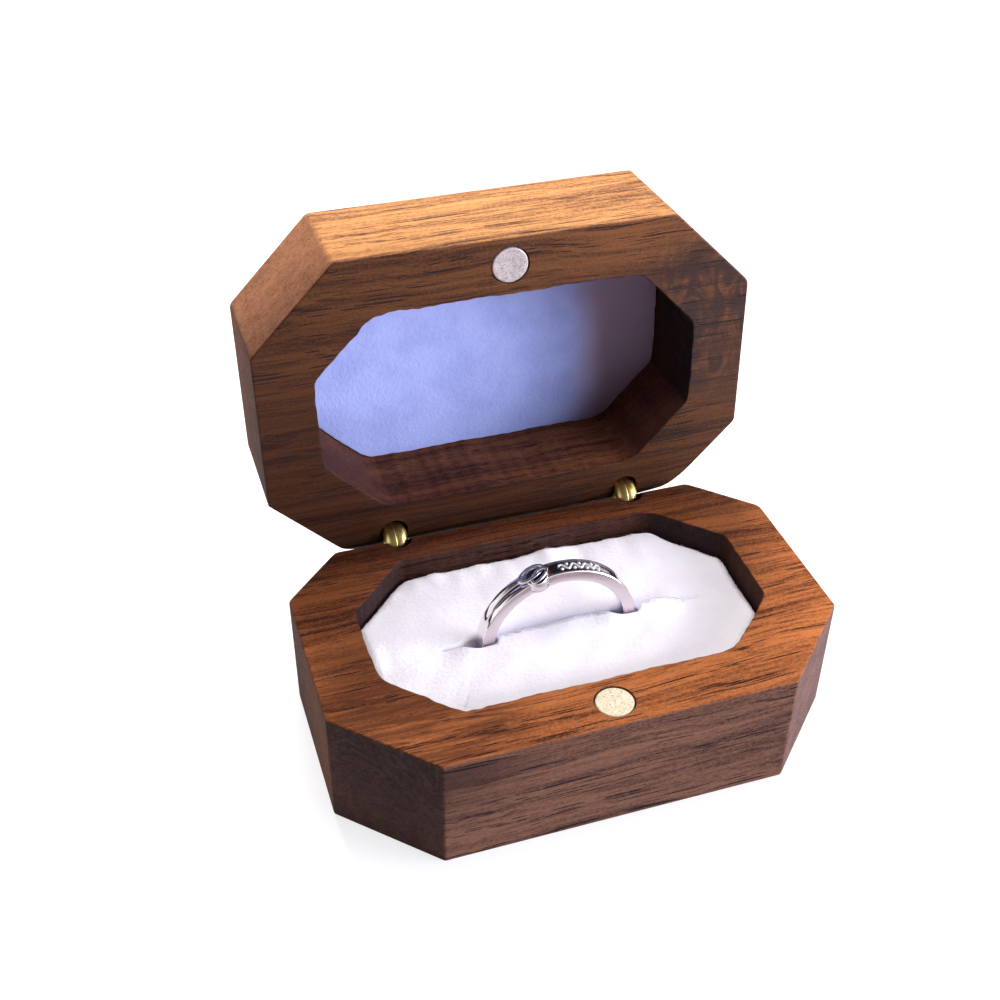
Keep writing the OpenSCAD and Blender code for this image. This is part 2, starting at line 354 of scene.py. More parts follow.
def new_object(name, part):
    """A mesh object from millimetre points, with its faces turned outwards."""
    points, faces = part
    mesh = bpy.data.meshes.new(name)
    mesh.from_pydata((np.asarray(points) * MM).tolist(), [], faces)
    shape = bmesh.new()
    shape.from_mesh(mesh)
    bmesh.ops.recalc_face_normals(shape, faces=shape.faces)
    shape.to_mesh(mesh)
    shape.free()
    return link_in(name, mesh)


def mark_points(piece, name, values):
    """Gives each point of a piece a number that its material reads."""
    piece.data.attributes.new(name, "FLOAT", "POINT").data.foreach_set("value", values)


def reshape(piece, kind, **settings):
    """Gives the piece the mesh that a modifier makes of it."""
    modifier = piece.modifiers.new(kind, kind)
    for name, value in settings.items():
        setattr(modifier, name, value)
    depsgraph = bpy.context.evaluated_depsgraph_get()
    mesh = bpy.data.meshes.new_from_object(piece.evaluated_get(depsgraph))
    piece.modifiers.clear()
    piece.data = mesh


def cut_away(piece, *parts):
    """Cuts closed shapes out of a piece."""
    cutter = new_object("cutter", together(parts))
    reshape(piece, "BOOLEAN", object=cutter, solver="EXACT")
    bpy.data.objects.remove(cutter)


def finish_piece(piece, finish, body, nodes=(), sharp=40):
    """Smooth shading up to the sharp angle, then the material, the body and the nodes."""
    material, slot = finish
    piece.data.shade_smooth()
    piece.data.set_sharp_from_angle(angle=math.radians(sharp))
    piece.data.materials.clear()
    piece.data.materials.append(material)
    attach(piece, body)
    if nodes:
        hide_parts(*nodes)


def make_piece(name, part, finish, body, nodes=(), sharp=40, marks=(), cuts=(), ease=0.0):
    """A piece from a shape, with its marks, then its cuts, then its eased edges and its finish."""
    piece = new_object(name, part)
    if len(marks):
        mark_points(piece, *marks)
    for cut in cuts:
        cut_away(piece, *cut)
    if ease:
        settings = {"width": ease * MM, "segments": 2, "angle_limit": math.radians(35)}
        reshape(piece, "BEVEL", limit_method="ANGLE", **settings)
    finish_piece(piece, finish, body, nodes, sharp)
    return piece


# ---- material nodes


class Recipe:
    """The nodes of one material or group, written down step by step."""

    def __init__(self, tree):
        self.tree = tree

    def node(self, kind, sockets=None, **settings):
        """A node with its settings, its sockets set to values or fed from other sockets."""
        made = self.tree.nodes.new(kind)
        for name, value in settings.items():
            setattr(made, name, value)
        for label, value in (sockets or {}).items():
            socket = made.inputs[label]
            if isinstance(value, bpy.types.NodeSocket):
                self.tree.links.new(value, socket)
            elif socket.type == "RGBA":
                socket.default_value = (*value, 1)
            else:
                socket.default_value = value
        return made

    def shader(self, kind, sockets=None, **settings):
        return self.node("ShaderNode" + kind, sockets, **settings)

    def maths(self, operation, *values):
        """One step of arithmetic."""
        sockets = dict(enumerate((*values, 0.0, 0.0)[:3]))
        return self.shader("Math", sockets, operation=operation).outputs[0]

    def times(self, first, second):
        return self.maths("MULTIPLY", first, second)

    def plus(self, value, factor, term):
        """A value times a factor, plus a term."""
        return self.maths("MULTIPLY_ADD", value, factor, term)

    def most(self, first, second):
        return self.maths("MAXIMUM", first, second)

    def vectors(self, operation, first, second=(0, 0, 0), output=0):
        """One step of arithmetic on vectors."""
        sockets = {0: first, 1: second}
        return self.shader("VectorMath", sockets, operation=operation).outputs[output]

    def shrunk(self, vector, size):
        """A vector divided by one size."""
        sockets = {0: vector, 3: self.maths("DIVIDE", 1.0, size)}
        return self.shader("VectorMath", sockets, operation="SCALE").outputs[0]

    def stretched(self, vector, *sizes):
        """A vector divided by three sizes, so that a pattern is that long each way."""
        sizes = sizes if len(sizes) == 3 else 3 * sizes
        return self.vectors("MULTIPLY", vector, tuple(1 / size for size in sizes))

    def noise(self, vector, detail=2.0, roughness=0.5, distortion=0.0, output="Fac"):
        """Cloudy noise from 0 to 1."""
        sockets = {"Vector": vector, "Scale": 1.0, "Detail": detail}
        sockets.update({"Roughness": roughness, "Distortion": distortion})
        return self.shader("TexNoise", sockets).outputs[output]

    def spread(self, value, low, high, to_low=0.0, to_high=1.0):
        """A value carried smoothly from one range to another, and held at its ends."""
        sockets = dict(enumerate((value, low, high, to_low, to_high)))
        return self.shader("MapRange", sockets, interpolation_type="SMOOTHSTEP").outputs[0]

    def blend(self, share, first, second, how="MIX"):
        """Two colours blended by a share."""
        sockets = {0: share, 6: first, 7: second}
        return self.shader("Mix", sockets, data_type="RGBA", blend_type=how).outputs[2]

    def parts(self, vector):
        """A vector's three numbers."""
        return self.shader("SeparateXYZ", {0: vector}).outputs

    def mark(self, name):
        """The number that each point of a piece was given under a name."""
        return self.shader("Attribute", attribute_name=name).outputs["Fac"]

    def group(self, tree, sockets):
        """A node group placed with its own values."""
        return self.shader("Group", sockets, node_tree=tree).outputs

    def place(self, turn=None):
        """Object coordinates in millimetres, turned back to a part's own frame if it is turned."""
        sockets = {"Vector": self.shader("TexCoord").outputs["Object"], "Scale": 3 * (1 / MM,)}
        if turn is not None:
            back = turn.to_3x3().inverted()
            sockets.update({"Rotation": back.to_euler(), "Location": -(back @ turn.translation)})
        return self.shader("Mapping", sockets).outputs[0]

    def normal(self, turn=None):
        """The object's normal, turned back to a part's own frame if it is turned."""
        normal = self.shader("TexCoord").outputs["Normal"]
        if turn is None:
            return normal
        sockets = {"Vector": normal, "Rotation": turn.to_3x3().inverted().to_euler()}
        return self.shader("Mapping", sockets, vector_type="NORMAL").outputs[0]

    def output(self, kind, shader):
        """Joins a shader to the output of a material or a world."""
        out = self.shader("Output" + kind)
        self.tree.links.new(shader.outputs[0], out.inputs["Surface"])

    def surface(self, colour, roughness, height, depth, **plain):
        """The Principled shader, with a bump of a depth in millimetres and some plain numbers."""
        bump = self.shader("Bump", {"Height": height, "Distance": depth * MM, "Strength": 1.0})
        sockets = {"Base Color": colour, "Roughness": roughness, "Normal": bump.outputs[0]}
        sockets.update({name.replace("_", " "): value for name, value in plain.items()})
        self.output("Material", self.shader("BsdfPrincipled", sockets))


def new_group(name, inputs, outputs, steps):
    """A node group with named sockets, whose steps turn what it is given into its outputs."""
    tree = bpy.data.node_groups.new(name, "ShaderNodeTree")
    for way, sockets in (("INPUT", inputs), ("OUTPUT", outputs)):
        for kind, labels in sockets.items():
            for label in labels.split(", "):
                tree.interface.new_socket(name=label, in_out=way, socket_type="NodeSocket" + kind)
    recipe = Recipe(tree)
    result = recipe.node("NodeGroupOutput").inputs
    for label, socket in steps(recipe, recipe.node("NodeGroupInput").outputs).items():
        tree.links.new(socket, result[label])
    return tree


def new_recipe(kind, name):
    """A new material or world with an empty recipe."""
    made = kind.new(name)
    made.use_nodes = True
    made.node_tree.nodes.clear()
    return made, Recipe(made.node_tree)


# ---- walnut

# Painted shade: the tint that darkens the side of a block that gets least light.
WOOD_SHADE_TINT = (0.26, 0.22, 0.25)
PORE_COLOUR = (0.016, 0.007, 0.006)
LAYER_WIDTH = 2.7
MEAN_TONE = 0.36
WHITE = (1, 1, 1)


def walnut_steps(r, given):
    """Walnut grown along X: growth layers about a far pith, bands, rows of pores and a dark cloud.

    The wood darkens along the painted shade way, from a share at the origin: painted shade on
    the side of a block that gets least light. Its figure share is 1 along the fibres, and less
    where the fibres are cut across. Pores are thin lines along the fibres, and small dots where
    the grain is cut across.
    """
    place, share = given["Place"], given["Figure share"]
    sway = r.noise(r.stretched(place, 38, 13, 13), output="Color")
    sway = r.vectors("MULTIPLY", r.vectors("SUBTRACT", sway, (0.5, 0.5, 0.5)), (0, 4, 4))
    fibre = r.vectors("ADD", place, sway)

    across = r.vectors("MULTIPLY", r.vectors("SUBTRACT", fibre, given["Pith"]), (0, 1, 1))
    radius = r.vectors("LENGTH", across, output="Value")
    layer = r.maths("FRACT", r.maths("DIVIDE", radius, LAYER_WIDTH))
    late = r.times(r.maths("POWER", layer, 2.0), r.spread(layer, 0.86, 1.0, 1.0, 0.0))

    broad = r.noise(r.stretched(fibre, 70, 4, 4))
    streak = r.noise(r.stretched(fibre, 40, 0.7, 0.7), roughness=0.6)
    thread = r.noise(r.stretched(fibre, 7, 0.14, 0.14), roughness=0.6)
    fleck = r.noise(r.stretched(place, 0.42, 0.26, 0.26), roughness=0.6)

    tone = r.plus(r.spread(broad, 0.34, 0.66), 0.46, -0.08)
    tone = r.plus(r.spread(streak, 0.4, 0.62), 0.42, tone)
    tone = r.plus(late, 0.22, tone)
    tone = r.plus(r.maths("SUBTRACT", thread, 0.5), 0.9, tone)
    tone = r.plus(r.maths("SUBTRACT", fleck, 0.5), 1.3, tone)
    tone = r.times(r.maths("SUBTRACT", tone, MEAN_TONE), share)
    wood = r.blend(r.maths("ADD", tone, MEAN_TONE), given["Light"], given["Dark"])

    # Painted shade, which grows along the given way from its share at the origin.
    deep = r.vectors("DOT_PRODUCT", place, given["Deepening"], "Value")
    deep = r.spread(r.maths("ADD", deep, given["Deep at origin"]), 0.0, 1.0)
    wood = r.blend(deep, wood, r.blend(1.0, wood, WOOD_SHADE_TINT, "MULTIPLY"))

    crowd = r.spread(r.noise(r.stretched(fibre, 45, 1.5, 1.5)), 0.4, 0.6, 0.12, -0.05)
    pores = []
    for length, width, reach in ((20, 0.42, 0.26), (9, 0.28, 0.28)):
        cells = {"Vector": r.stretched(fibre, length, width, width), "Scale": 1.0}
        distance = r.shader("TexVoronoi", cells).outputs["Distance"]
        pores.append(r.spread(r.maths("ADD", distance, crowd), 0.2, reach, 1.0, 0.0))
    pores = r.most(pores[0], r.times(pores[1], 0.85))
    pores = r.times(r.times(pores, r.spread(fleck, 0.3, 0.5, 0.7, 1.0)), share)

    apart = r.vectors("DISTANCE", place, given["Cloud centre"], "Value")
    near = r.maths("DIVIDE", apart, given["Cloud size"])
    cloud = r.noise(r.vectors("DIVIDE", fibre, given["Cloud grain"]), 4, 0.65, 1.6)
    cloud = r.times(r.spread(cloud, 0.36, 0.6, 0.3, 1.0), r.spread(near, 0.45, 1.0, 1.0, 0.0))
    wood = r.blend(r.times(cloud, 0.9), wood, given["Cloud colour"])
    return {
        "Colour": r.blend(r.times(pores, 0.92), wood, PORE_COLOUR),
        "Roughness": r.plus(pores, 0.25, r.plus(fleck, 0.2, 0.38)),
        "Height": r.plus(fleck, 0.8, r.times(pores, -1.0)),
    }


def grain_and_light_steps(r, given):
    """Tints wood by the way each face turns, with the grain's own tone and with painted light.

    The squares of the own-frame normal's parts share out the flat, side and end tints, and the
    slant tint comes in where a face stands between a side and an end. Each tint is partly the
    change in walnut's tone with how a face cuts the grain, and partly painted light and shade,
    which give each face the strength and colour of the light that falls on it. Wood in the
    recess is tinted once more, with painted shade. The sawn share is 1 on every face that
    stands square to the rim.
    """
    end, side, _ = r.parts(r.vectors("MULTIPLY", given["Normal"], given["Normal"]))
    tint = r.blend(end, r.blend(side, WHITE, given["Side tint"]), given["End tint"])
    slant = r.times(r.times(end, side), 4.0)
    tint = r.blend(r.spread(slant, 0.3, 0.9), tint, given["Slant tint"])
    tinted = r.blend(1.0, given["Colour"], tint, "MULTIPLY")
    # Painted shade in the recess, with a tint of its own on the end walls.
    routed = r.blend(end, given["Routed tint"], given["Routed end tint"])
    tinted = r.blend(given["Routed"], tinted, routed, "MULTIPLY")
    return {"Colour": tinted, "Sawn": r.maths("ADD", end, side)}


WALNUT_GRAIN = new_group(
    "walnut_grain",
    {
        "Vector": "Place, Pith, Deepening, Cloud centre, Cloud grain",
        "Color": "Light, Dark, Cloud colour",
        "Float": "Deep at origin, Cloud size, Figure share",
    },
    {"Color": "Colour", "Float": "Roughness, Height"},
    walnut_steps,
)
TINTS = "Side tint, End tint, Slant tint, Routed tint, Routed end tint"
GRAIN_AND_LIGHT_TINTS = new_group(
    "grain_and_light_tint",
    {"Vector": "Normal", "Color": "Colour, " + TINTS, "Float": "Routed"},
    {"Color": "Colour", "Float": "Sawn"},
    grain_and_light_steps,
)


def walnut(name, grain_values, tints, turn=None):
    """Oiled walnut for one block, with its colours, pith, dark cloud, face tints and painted
    shade.

    Its figure and pores show least on the ends and corners, where they are cut across.
    """
    material, r = new_recipe(bpy.data.materials, name)
    normal = r.normal(turn)
    endways = r.maths("ABSOLUTE", r.parts(normal)[0])
    sockets = {"Place": r.place(turn), "Figure share": r.spread(endways, 0.3, 0.7, 1.0, 0.45)}
    grain = r.group(WALNUT_GRAIN, sockets | grain_values)
    sockets = {"Colour": grain["Colour"], "Normal": normal, "Routed": r.mark("routed")}
    tinted = r.group(GRAIN_AND_LIGHT_TINTS, sockets | dict(zip(TINTS.split(", "), tints)))
    rough = r.plus(tinted["Sawn"], 0.3, grain["Roughness"])
    r.surface(tinted["Colour"], rough, grain["Height"], 0.06, Specular_IOR_Level=0.15)
    return material, "walnut"


BASE_WALNUT = walnut(
    "walnut_base",
    {
        "Pith": (0, -70, 6),
        "Light": (0.410, 0.132, 0.041),
        "Dark": (0.080, 0.022, 0.010),
        # Painted shade: the base darkens towards its hinge side, which the open lid keeps from the
        # light.
        "Deepening": (-0.002, 0.0225, 0),
        "Deep at origin": 0.36,
        "Cloud centre": (-25, -15, 20),
        "Cloud size": 20,
        "Cloud colour": (0.090, 0.028, 0.011),
        "Cloud grain": (30, 1.3, 1.3),
    },
    [
        # Side, end and slant tints: partly the grain's own tone, partly painted light, bluer on
        # the faces that the front lamps reach.
        (0.54, 0.78, 1.55),
        (0.59, 0.61, 0.66),
        (0.41, 0.67, 1.7),
        # Painted shade in the recess, on its walls and on its end walls.
        (0.66, 0.56, 0.54),
        (0.36, 0.36, 0.5),
    ],
)
# The lid is the same walnut as the base. Its darker colours paint the shade on its rim, which
# faces away from the lamps, and its strong face tints paint light back onto the faces the lamps
# reach.
LID_WALNUT = walnut(
    "walnut_lid",
    {
        "Pith": (0, -55, 40),
        "Light": (0.213, 0.078, 0.025),
        "Dark": (0.044, 0.014, 0.008),
        # Painted shade: the lid darkens towards its rim, its hinge side and its left end.
        "Deepening": (-0.006, 0.012, -0.03),
        "Deep at origin": 0.63,
        "Cloud centre": (31, -7, 0),
        "Cloud size": 18,
        "Cloud colour": (0.028, 0.014, 0.013),
        "Cloud grain": (3.4, 7, 5),
    },
    [
        # Side, end and slant tints: partly the grain's own tone, partly painted light that makes
        # the faces the lamps reach far brighter and bluer than the rim.
        (2.2, 2.9, 3.5),
        (1.45, 1.40, 1.6),
        (1.9, 2.35, 3.7),
        # Deep painted shade in the lid's recess, on its walls and on its end walls.
        (0.80, 0.58, 0.56),
        (0.13, 0.13, 0.15),
    ],
    LID_PLACE,
)


# ---- velvet


def nap_steps(r, given):
    """Short velvet pile: broad brushed patches, small flecks and a fine pile height."""
    place = given["Place"]
    patch = r.spread(r.noise(r.shrunk(place, given["Patch size"]), 3, 0.55), 0.35, 0.68)
    fleck = r.noise(r.stretched(place, 0.55))
    pile = r.noise(r.stretched(place, 0.14))
    share = r.plus(patch, 0.6, r.plus(r.spread(fleck, 0.4, 0.75), 0.25, 0.0))
    colour = r.blend(share, given["Light"], given["Shade"])
    return {"Colour": colour, "Height": r.plus(pile, 0.6, fleck)}


VELVET_NAP = new_group(
    "velvet_nap",
    {"Vector": "Place", "Color": "Light, Shade", "Float": "Patch size"},
    {"Color": "Colour", "Float": "Height"},
    nap_steps,
)
# Painted shade deep in an open slit of the velvet.
SLIT_SHADE = (0.22, 0.15, 0.17)


def velvet(name, light, shade, hollow_colour, patch_size, pile_depth):
    """Velvet with a soft sheen at grazing angles.

    Where a point is marked for painted shade it takes on the painted shade colour, fully at a
    mark of one half, and above that it turns darker still, the painted shade deep in an open slit.
    """
    material, r = new_recipe(bpy.data.materials, name)
    sockets = {"Place": r.place(), "Light": light, "Shade": shade, "Patch size": patch_size}
    nap = r.group(VELVET_NAP, sockets)
    painted_shade = r.mark("painted_shade")
    colour = r.blend(r.spread(painted_shade, 0.0, 0.5), nap["Colour"], hollow_colour)
    colour = r.blend(r.spread(painted_shade, 0.5, 1.0), colour, SLIT_SHADE)
    sheen = {"Specular_IOR_Level": 0.1, "Sheen_Weight": 0.2, "Sheen_Roughness": 0.45}
    r.surface(colour, 0.95, nap["Height"], pile_depth, **sheen)
    return material, "velvet"


# The white velvet's lavender is painted shade behind the slit's lip, and the lilac velvet's purple
# brown is painted shadow on the lining's right end.
WHITE_VELVET = velvet(
    "white_velvet", (0.95, 0.91, 0.95), (0.91, 0.85, 0.92), (0.78, 0.77, 1.0), 5.0, 0.09
)
LILAC_VELVET = velvet(
    "lilac_velvet", (0.46, 0.52, 0.94), (0.35, 0.40, 0.80), (0.44, 0.33, 0.46), 6.0, 0.07
)


# ---- metals and card


def wear_steps(r, given):
    """Fine handling marks: clouded polish and thin scratches that cross at two slants."""
    place = r.shrunk(given["Place"], given["Size"])
    first = r.spread(r.noise(r.stretched(place, 6.0, 0.18, 0.5), 1), 0.66, 0.74)
    second = r.spread(r.noise(r.stretched(place, 0.2, 5.0, 0.5), 1), 0.68, 0.76)
    return {"Cloud": r.noise(place, 4, 0.6), "Scratch": r.most(first, second)}


METAL_WEAR = new_group(
    "metal_wear", {"Vector": "Place", "Float": "Size"}, {"Float": "Cloud, Scratch"}, wear_steps
)


def metal(name, slot, bright, dull, roughness, mark_size, mark_depth, metallic=1.0):
    """A polished metal whose colour and gloss vary with handling."""
    material, r = new_recipe(bpy.data.materials, name)
    wear = r.group(METAL_WEAR, {"Place": r.place(), "Size": mark_size})
    share = r.spread(wear["Cloud"], 0.35, 0.7)
    rough = r.plus(wear["Scratch"], 0.12, r.plus(share, 0.12, roughness))
    dent = r.times(wear["Scratch"], -1.0)
    r.surface(r.blend(share, bright, dull), rough, dent, mark_depth, Metallic=metallic)
    return material, slot


BRASS = metal("bright_brass", "brass", (0.98, 0.76, 0.30), (0.86, 0.62, 0.20), 0.26, 1.6, 0.001)
# The barrels and pins are the links' brass made darker: painted shade, for where they sit sunk in
# their holes.
SHADE_DARKENED_BRASS = metal("brass_darkened_for_shade", "brass", (0.46, 0.33, 0.13), (0.28, 0.19, 0.07), 0.34, 1.2, 0.002)
# Silver for the vine, half diffuse and near white: a painted brightness in place of reflections.
BRIGHTENED_SILVER = metal(
    "silver_painted_bright", "silver", (0.95, 0.93, 0.95), (0.85, 0.82, 0.85), 0.2, 1.0, 0.002, 0.45
)

ring_low, ring_high = node_box("ring")
RING_R = (ring_high[0] - ring_low[0]) / 2
RING_WALL = 1.75
RING_W = 2.6
RING_CENTRE = np.array([(ring_low[0] + ring_high[0]) / 2, -0.9, ring_low[2] + RING_R])
CHANNEL_DEPTH = 0.45
CHANNEL_LIP = 0.27
KNOT_ANGLE = 107.5
KNOT_ACROSS = -0.44


def silver():
    """Polished silver, near black in the channel and the split, and round the foot of the knot.

    The dark share is 1 between the ring's two edges wherever a point lies below its face.
    """
    material, r = new_recipe(bpy.data.materials, "ring_silver")
    place = r.place()
    wear = r.group(METAL_WEAR, {"Place": place, "Size": 1.2})
    from_centre = r.vectors("SUBTRACT", place, tuple(map(float, RING_CENTRE)))
    in_plane = r.vectors("MULTIPLY", from_centre, (1, 0, 1))
    radius = r.vectors("LENGTH", in_plane, output="Value")
    across = r.maths("ABSOLUTE", r.parts(from_centre)[1])
    sunk = r.spread(radius, RING_R - 0.36, RING_R - 0.22, 1.0, 0.0)
    sunk = r.times(sunk, r.spread(radius, RING_R - RING_WALL, RING_R - 1.3, 0.0, 1.0))
    inner = r.spread(across, RING_W / 2 - CHANNEL_LIP, RING_W / 2 - 0.2, 1.0, 0.0)
    turn = math.radians(KNOT_ANGLE)
    knot = RING_CENTRE + [RING_R * math.cos(turn), KNOT_ACROSS, RING_R * math.sin(turn)]
    apart = r.vectors("DISTANCE", place, tuple(map(float, knot)), "Value")
    low = r.spread(radius, RING_R + 0.26, RING_R + 0.4, 1.0, 0.0)
    under_knot = r.times(low, r.spread(apart, 1.38, 1.46, 1.0, 0.0))
    above = r.spread(radius, RING_R - 0.1, RING_R + 0.02)
    dark = r.most(r.times(sunk, inner), r.times(under_knot, above))
    cloud = r.spread(wear["Cloud"], 0.35, 0.7)
    bright = r.blend(cloud, (0.93, 0.90, 0.93), (0.86, 0.82, 0.86))
    # Painted reflection: the band's front and back faces are toned duller and pinker, like the
    # velvet they face.
    flank = r.spread(r.maths("ABSOLUTE", r.parts(r.normal())[1]), 0.55, 0.9)
    bright = r.blend(flank, bright, (0.74, 0.66, 0.69))
    rough = r.plus(wear["Scratch"], 0.1, r.plus(cloud, 0.05, 0.07))
    rough = r.plus(dark, 0.25, r.plus(flank, 0.22, rough))
    colour = r.blend(dark, bright, (0.10, 0.09, 0.095))
    r.surface(colour, rough, r.times(wear["Scratch"], -1.0), 0.003, Metallic=1.0)
    return material, "silver"


SILVER = silver()


def speckle_metal(name, bright, dull, spot, speck_reach):
    """Nickel plate on a magnet: pale, with a grainy haze and a few dark specks."""
    material, r = new_recipe(bpy.data.materials, name)
    place = r.place()
    haze = r.noise(r.stretched(place, 1.4), 5, 0.7)
    grain = r.noise(r.stretched(place, 0.22), 3, 0.7)
    cells = r.shader("TexVoronoi", {"Vector": r.stretched(place, 0.95)}).outputs["Distance"]
    colour = r.blend(r.spread(haze, 0.35, 0.65), bright, dull)
    colour = r.blend(r.times(r.spread(grain, 0.5, 0.64), 0.7), colour, spot)
    colour = r.blend(r.spread(cells, speck_reach / 2, speck_reach, 0.75, 0.0), colour, spot)
    plain = {"Metallic": 0.4, "Specular_IOR_Level": 0.3}
    r.surface(colour, r.plus(grain, 0.3, 0.4), grain, 0.012, **plain)
    return material, "nickel"


# One nickel on both magnets, coloured two ways: the base's pale cream is a painted reflection, and
# the lid's dark grey is painted shade.
BASE_NICKEL = speckle_metal(
    "nickel_base", (0.94, 0.86, 0.66), (0.86, 0.75, 0.53), (0.46, 0.30, 0.22), 0.16
)
LID_NICKEL = speckle_metal(
    "nickel_lid", (0.56, 0.48, 0.48), (0.43, 0.37, 0.37), (0.14, 0.11, 0.11), 0.17
)


def paper_card():
    """Grey card with soft fibres."""
    material, r = new_recipe(bpy.data.materials, "grey_card")
    fibre = r.noise(r.stretched(r.place(), 1.6, 0.3, 0.3), 4)
    r.surface(r.blend(fibre, (0.50, 0.49, 0.46), (0.38, 0.37, 0.35)), 0.9, fibre, 0.02)
    return material


# ---- the two walnut blocks and their magnets

HOLE_GAP = 0.08
MAGNET_HOLE_GAP = 0.18
BORE_CLEAR = 6.0


def rim_bores(rim):
    """Rods for the two barrel holes and the magnet hole, drilled down from a rim."""
    drill = round_rod(BARREL_R + HOLE_GAP, rim - BARREL_LEN - HOLE_GAP, rim + BORE_CLEAR)
    low = rim - MAGNET_SINK - MAGNET_T - HOLE_GAP
    wide = round_rod(MAGNET_R + MAGNET_HOLE_GAP, low, rim + BORE_CLEAR, steps=64)
    barrels = [placed(drill, shift(side * HINGE_X, HINGE_Y, 0)) for side, _ in SIDES]
    return barrels + [placed(wide, shift(0, MAGNET_Y, 0))]


# The wood and the shape of each half's block
BLOCKS = (
    (BASE_WALNUT, (BASE_FLOOR, BASE_BEVEL, BASE_CORNERS, BASE_RADII, BASE_PHASE)),
    (LID_WALNUT, (LID_TOP, LID_BEVEL, LID_CORNERS, LID_RADII, LID_PHASE)),
)
for (body, rim, carry), (wood, shape) in zip(HALVES, BLOCKS):
    rings, routed = wood_rings(rim, *shape)
    make_piece(
        "walnut_" + body,
        carry(tube(rings)),
        wood,
        body,
        [body + "_block"],
        marks=("routed", routed),
        cuts=[[carry(bore) for bore in rim_bores(rim)]],
    )


def magnet_disc():
    """A disc with a rounded rim and a faintly dished face, its top at z = 0."""
    edge, dish = 0.22, 0.02
    flat = MAGNET_R - edge
    profile = [(0.02, -MAGNET_T), (flat, -MAGNET_T)]
    profile += [(flat + edge * s, edge * (1 - c) - MAGNET_T) for s, c in quarter_turn(5)]
    profile += [(flat + edge * c, -edge * (1 - s)) for s, c in quarter_turn(5)]
    profile += [(flat * share, -dish * (1 - share**2)) for share in (0.96, 0.7, 0.4, 0.02)]
    return lathe(profile, 72)


for (body, rim, carry), nickel in zip(HALVES, (BASE_NICKEL, LID_NICKEL)):
    disc = placed(magnet_disc(), shift(0, MAGNET_Y, rim - MAGNET_SINK))
    make_piece("magnet_" + body, carry(disc), nickel, body, [body + "_magnet"])


# ---- barrel hinges

LINK_INNER = 0.06
LINK_OUTER = 1.7
LINK_W = 2.2
LINK_BULGE = 0.8
SLOT_W = 2 * LINK_OUTER + 0.08
PIN_DEPTH = 1.75
PIN_R = 0.4
PIN_LEN = 3.7
PIN_GAP = 0.02
PIN_REACH = 2 * PIN_DEPTH + CLOSED_GAP
SLOT_FLOOR = PIN_DEPTH + LINK_W / 2 + 0.15
GROOVES = 3


def barrel_part():
    """A turned barrel with its domed head at z = 0 and glue grooves round its shank."""
    groove_step = (BARREL_LEN - SLOT_FLOOR) / (GROOVES + 1)
    profile = [(0.02, -BARREL_LEN), (BARREL_R - 0.2, -BARREL_LEN), (BARREL_R, 0.2 - BARREL_LEN)]
    for k in range(GROOVES, 0, -1):
        middle = -SLOT_FLOOR - k * groove_step
        for depth, offset in ((0, -0.25), (0.15, -0.15), (0.15, 0.15), (0, 0.25)):
            profile.append((BARREL_R - depth, middle + offset))
    for across, up in ways(np.radians([0, 10, 20, 30, 40, 50, 60, 70, 80, 87, 89.5])):
        profile.append((BARREL_R * across, BARREL_R * up - BARREL_R))
    return lathe(profile, 72)


def make_barrel(end, body, place, carry):
    """A barrel in a rim, slotted for its links and bored for its pin."""
    reach = 2 * BARREL_R
    loop = np.array([(-1, -1), (1, -1), (1, 1), (-1, 1)]) * [SLOT_W / 2, reach]
    slot = tube([at_level(loop, -SLOT_FLOOR), at_level(loop, reach)])
    bore = placed(round_rod(PIN_R, -reach, reach, 32), along_x(-PIN_DEPTH))
    barrel, *cuts = [carry(placed(part, place)) for part in (barrel_part(), slot, bore)]
    make_piece(
        "barrel_" + end,
        barrel,
        SHADE_DARKENED_BRASS,
        body,
        ["hinge_barrel_" + end],
        sharp=50,
        cuts=[[cut] for cut in cuts],
        ease=0.07,
    )


def make_pin(end, body, place, carry):
    """A pin across a barrel, its ends eased."""
    rod = round_rod(PIN_R - PIN_GAP, -PIN_LEN / 2, PIN_LEN / 2, 32, ease=0.06)
    pin = carry(placed(rod, place, along_x(-PIN_DEPTH)))
    make_piece("pin_" + end, pin, SHADE_DARKENED_BRASS, body, ["hinge_pin_" + end], sharp=50)


for side, word in SIDES:
    for body, rim, carry in HALVES:
        for make in (make_barrel, make_pin):
            make(f"{body}_{word}", body, shift(side * HINGE_X, HINGE_Y, rim), carry)


def link_plate():
    """A link with round ends about two pins, cheeked like half a ball.

    Each ring is a bar with round ends whose front swells in the middle. Across its thickness
    the bar narrows as a quarter oval does, from its flat inner face to its outer cheek.
    """
    half_turn = ways(np.linspace(0, math.pi, 24))
    rise = PIN_REACH * np.linspace(0, 1, 9)[1:-1]
    rings = []
    for share in np.concatenate([[0.0, 0.03], np.linspace(0.12, 0.9, 14), [0.95, 0.98, 1.0]]):
        x = LINK_INNER + (LINK_OUTER - LINK_INNER) * share
        narrow = math.sqrt(1 - (0.95 * share) ** 2.8)
        radius = LINK_W / 2 * narrow - (0.05 if share == 0 else 0)
        back = np.column_stack([np.full(7, radius), rise])
        front = np.column_stack([np.full(7, -radius), rise[::-1]])
        high = radius * half_turn + [0, PIN_REACH]
        loop = np.concatenate([-radius * half_turn, back, high, front])
        middle = np.clip((loop[:, 1] - PIN_REACH / 2) / (PIN_REACH / 2 + radius), -1, 1)
        swell = LINK_BULGE * narrow * np.cos(middle * math.pi / 2) ** 2
        loop[:, 0] -= swell * (loop[:, 0] < 0) * np.abs(loop[:, 0]) / radius
        rings.append(np.column_stack([np.full(len(loop), x), loop]))
    return tube(rings)


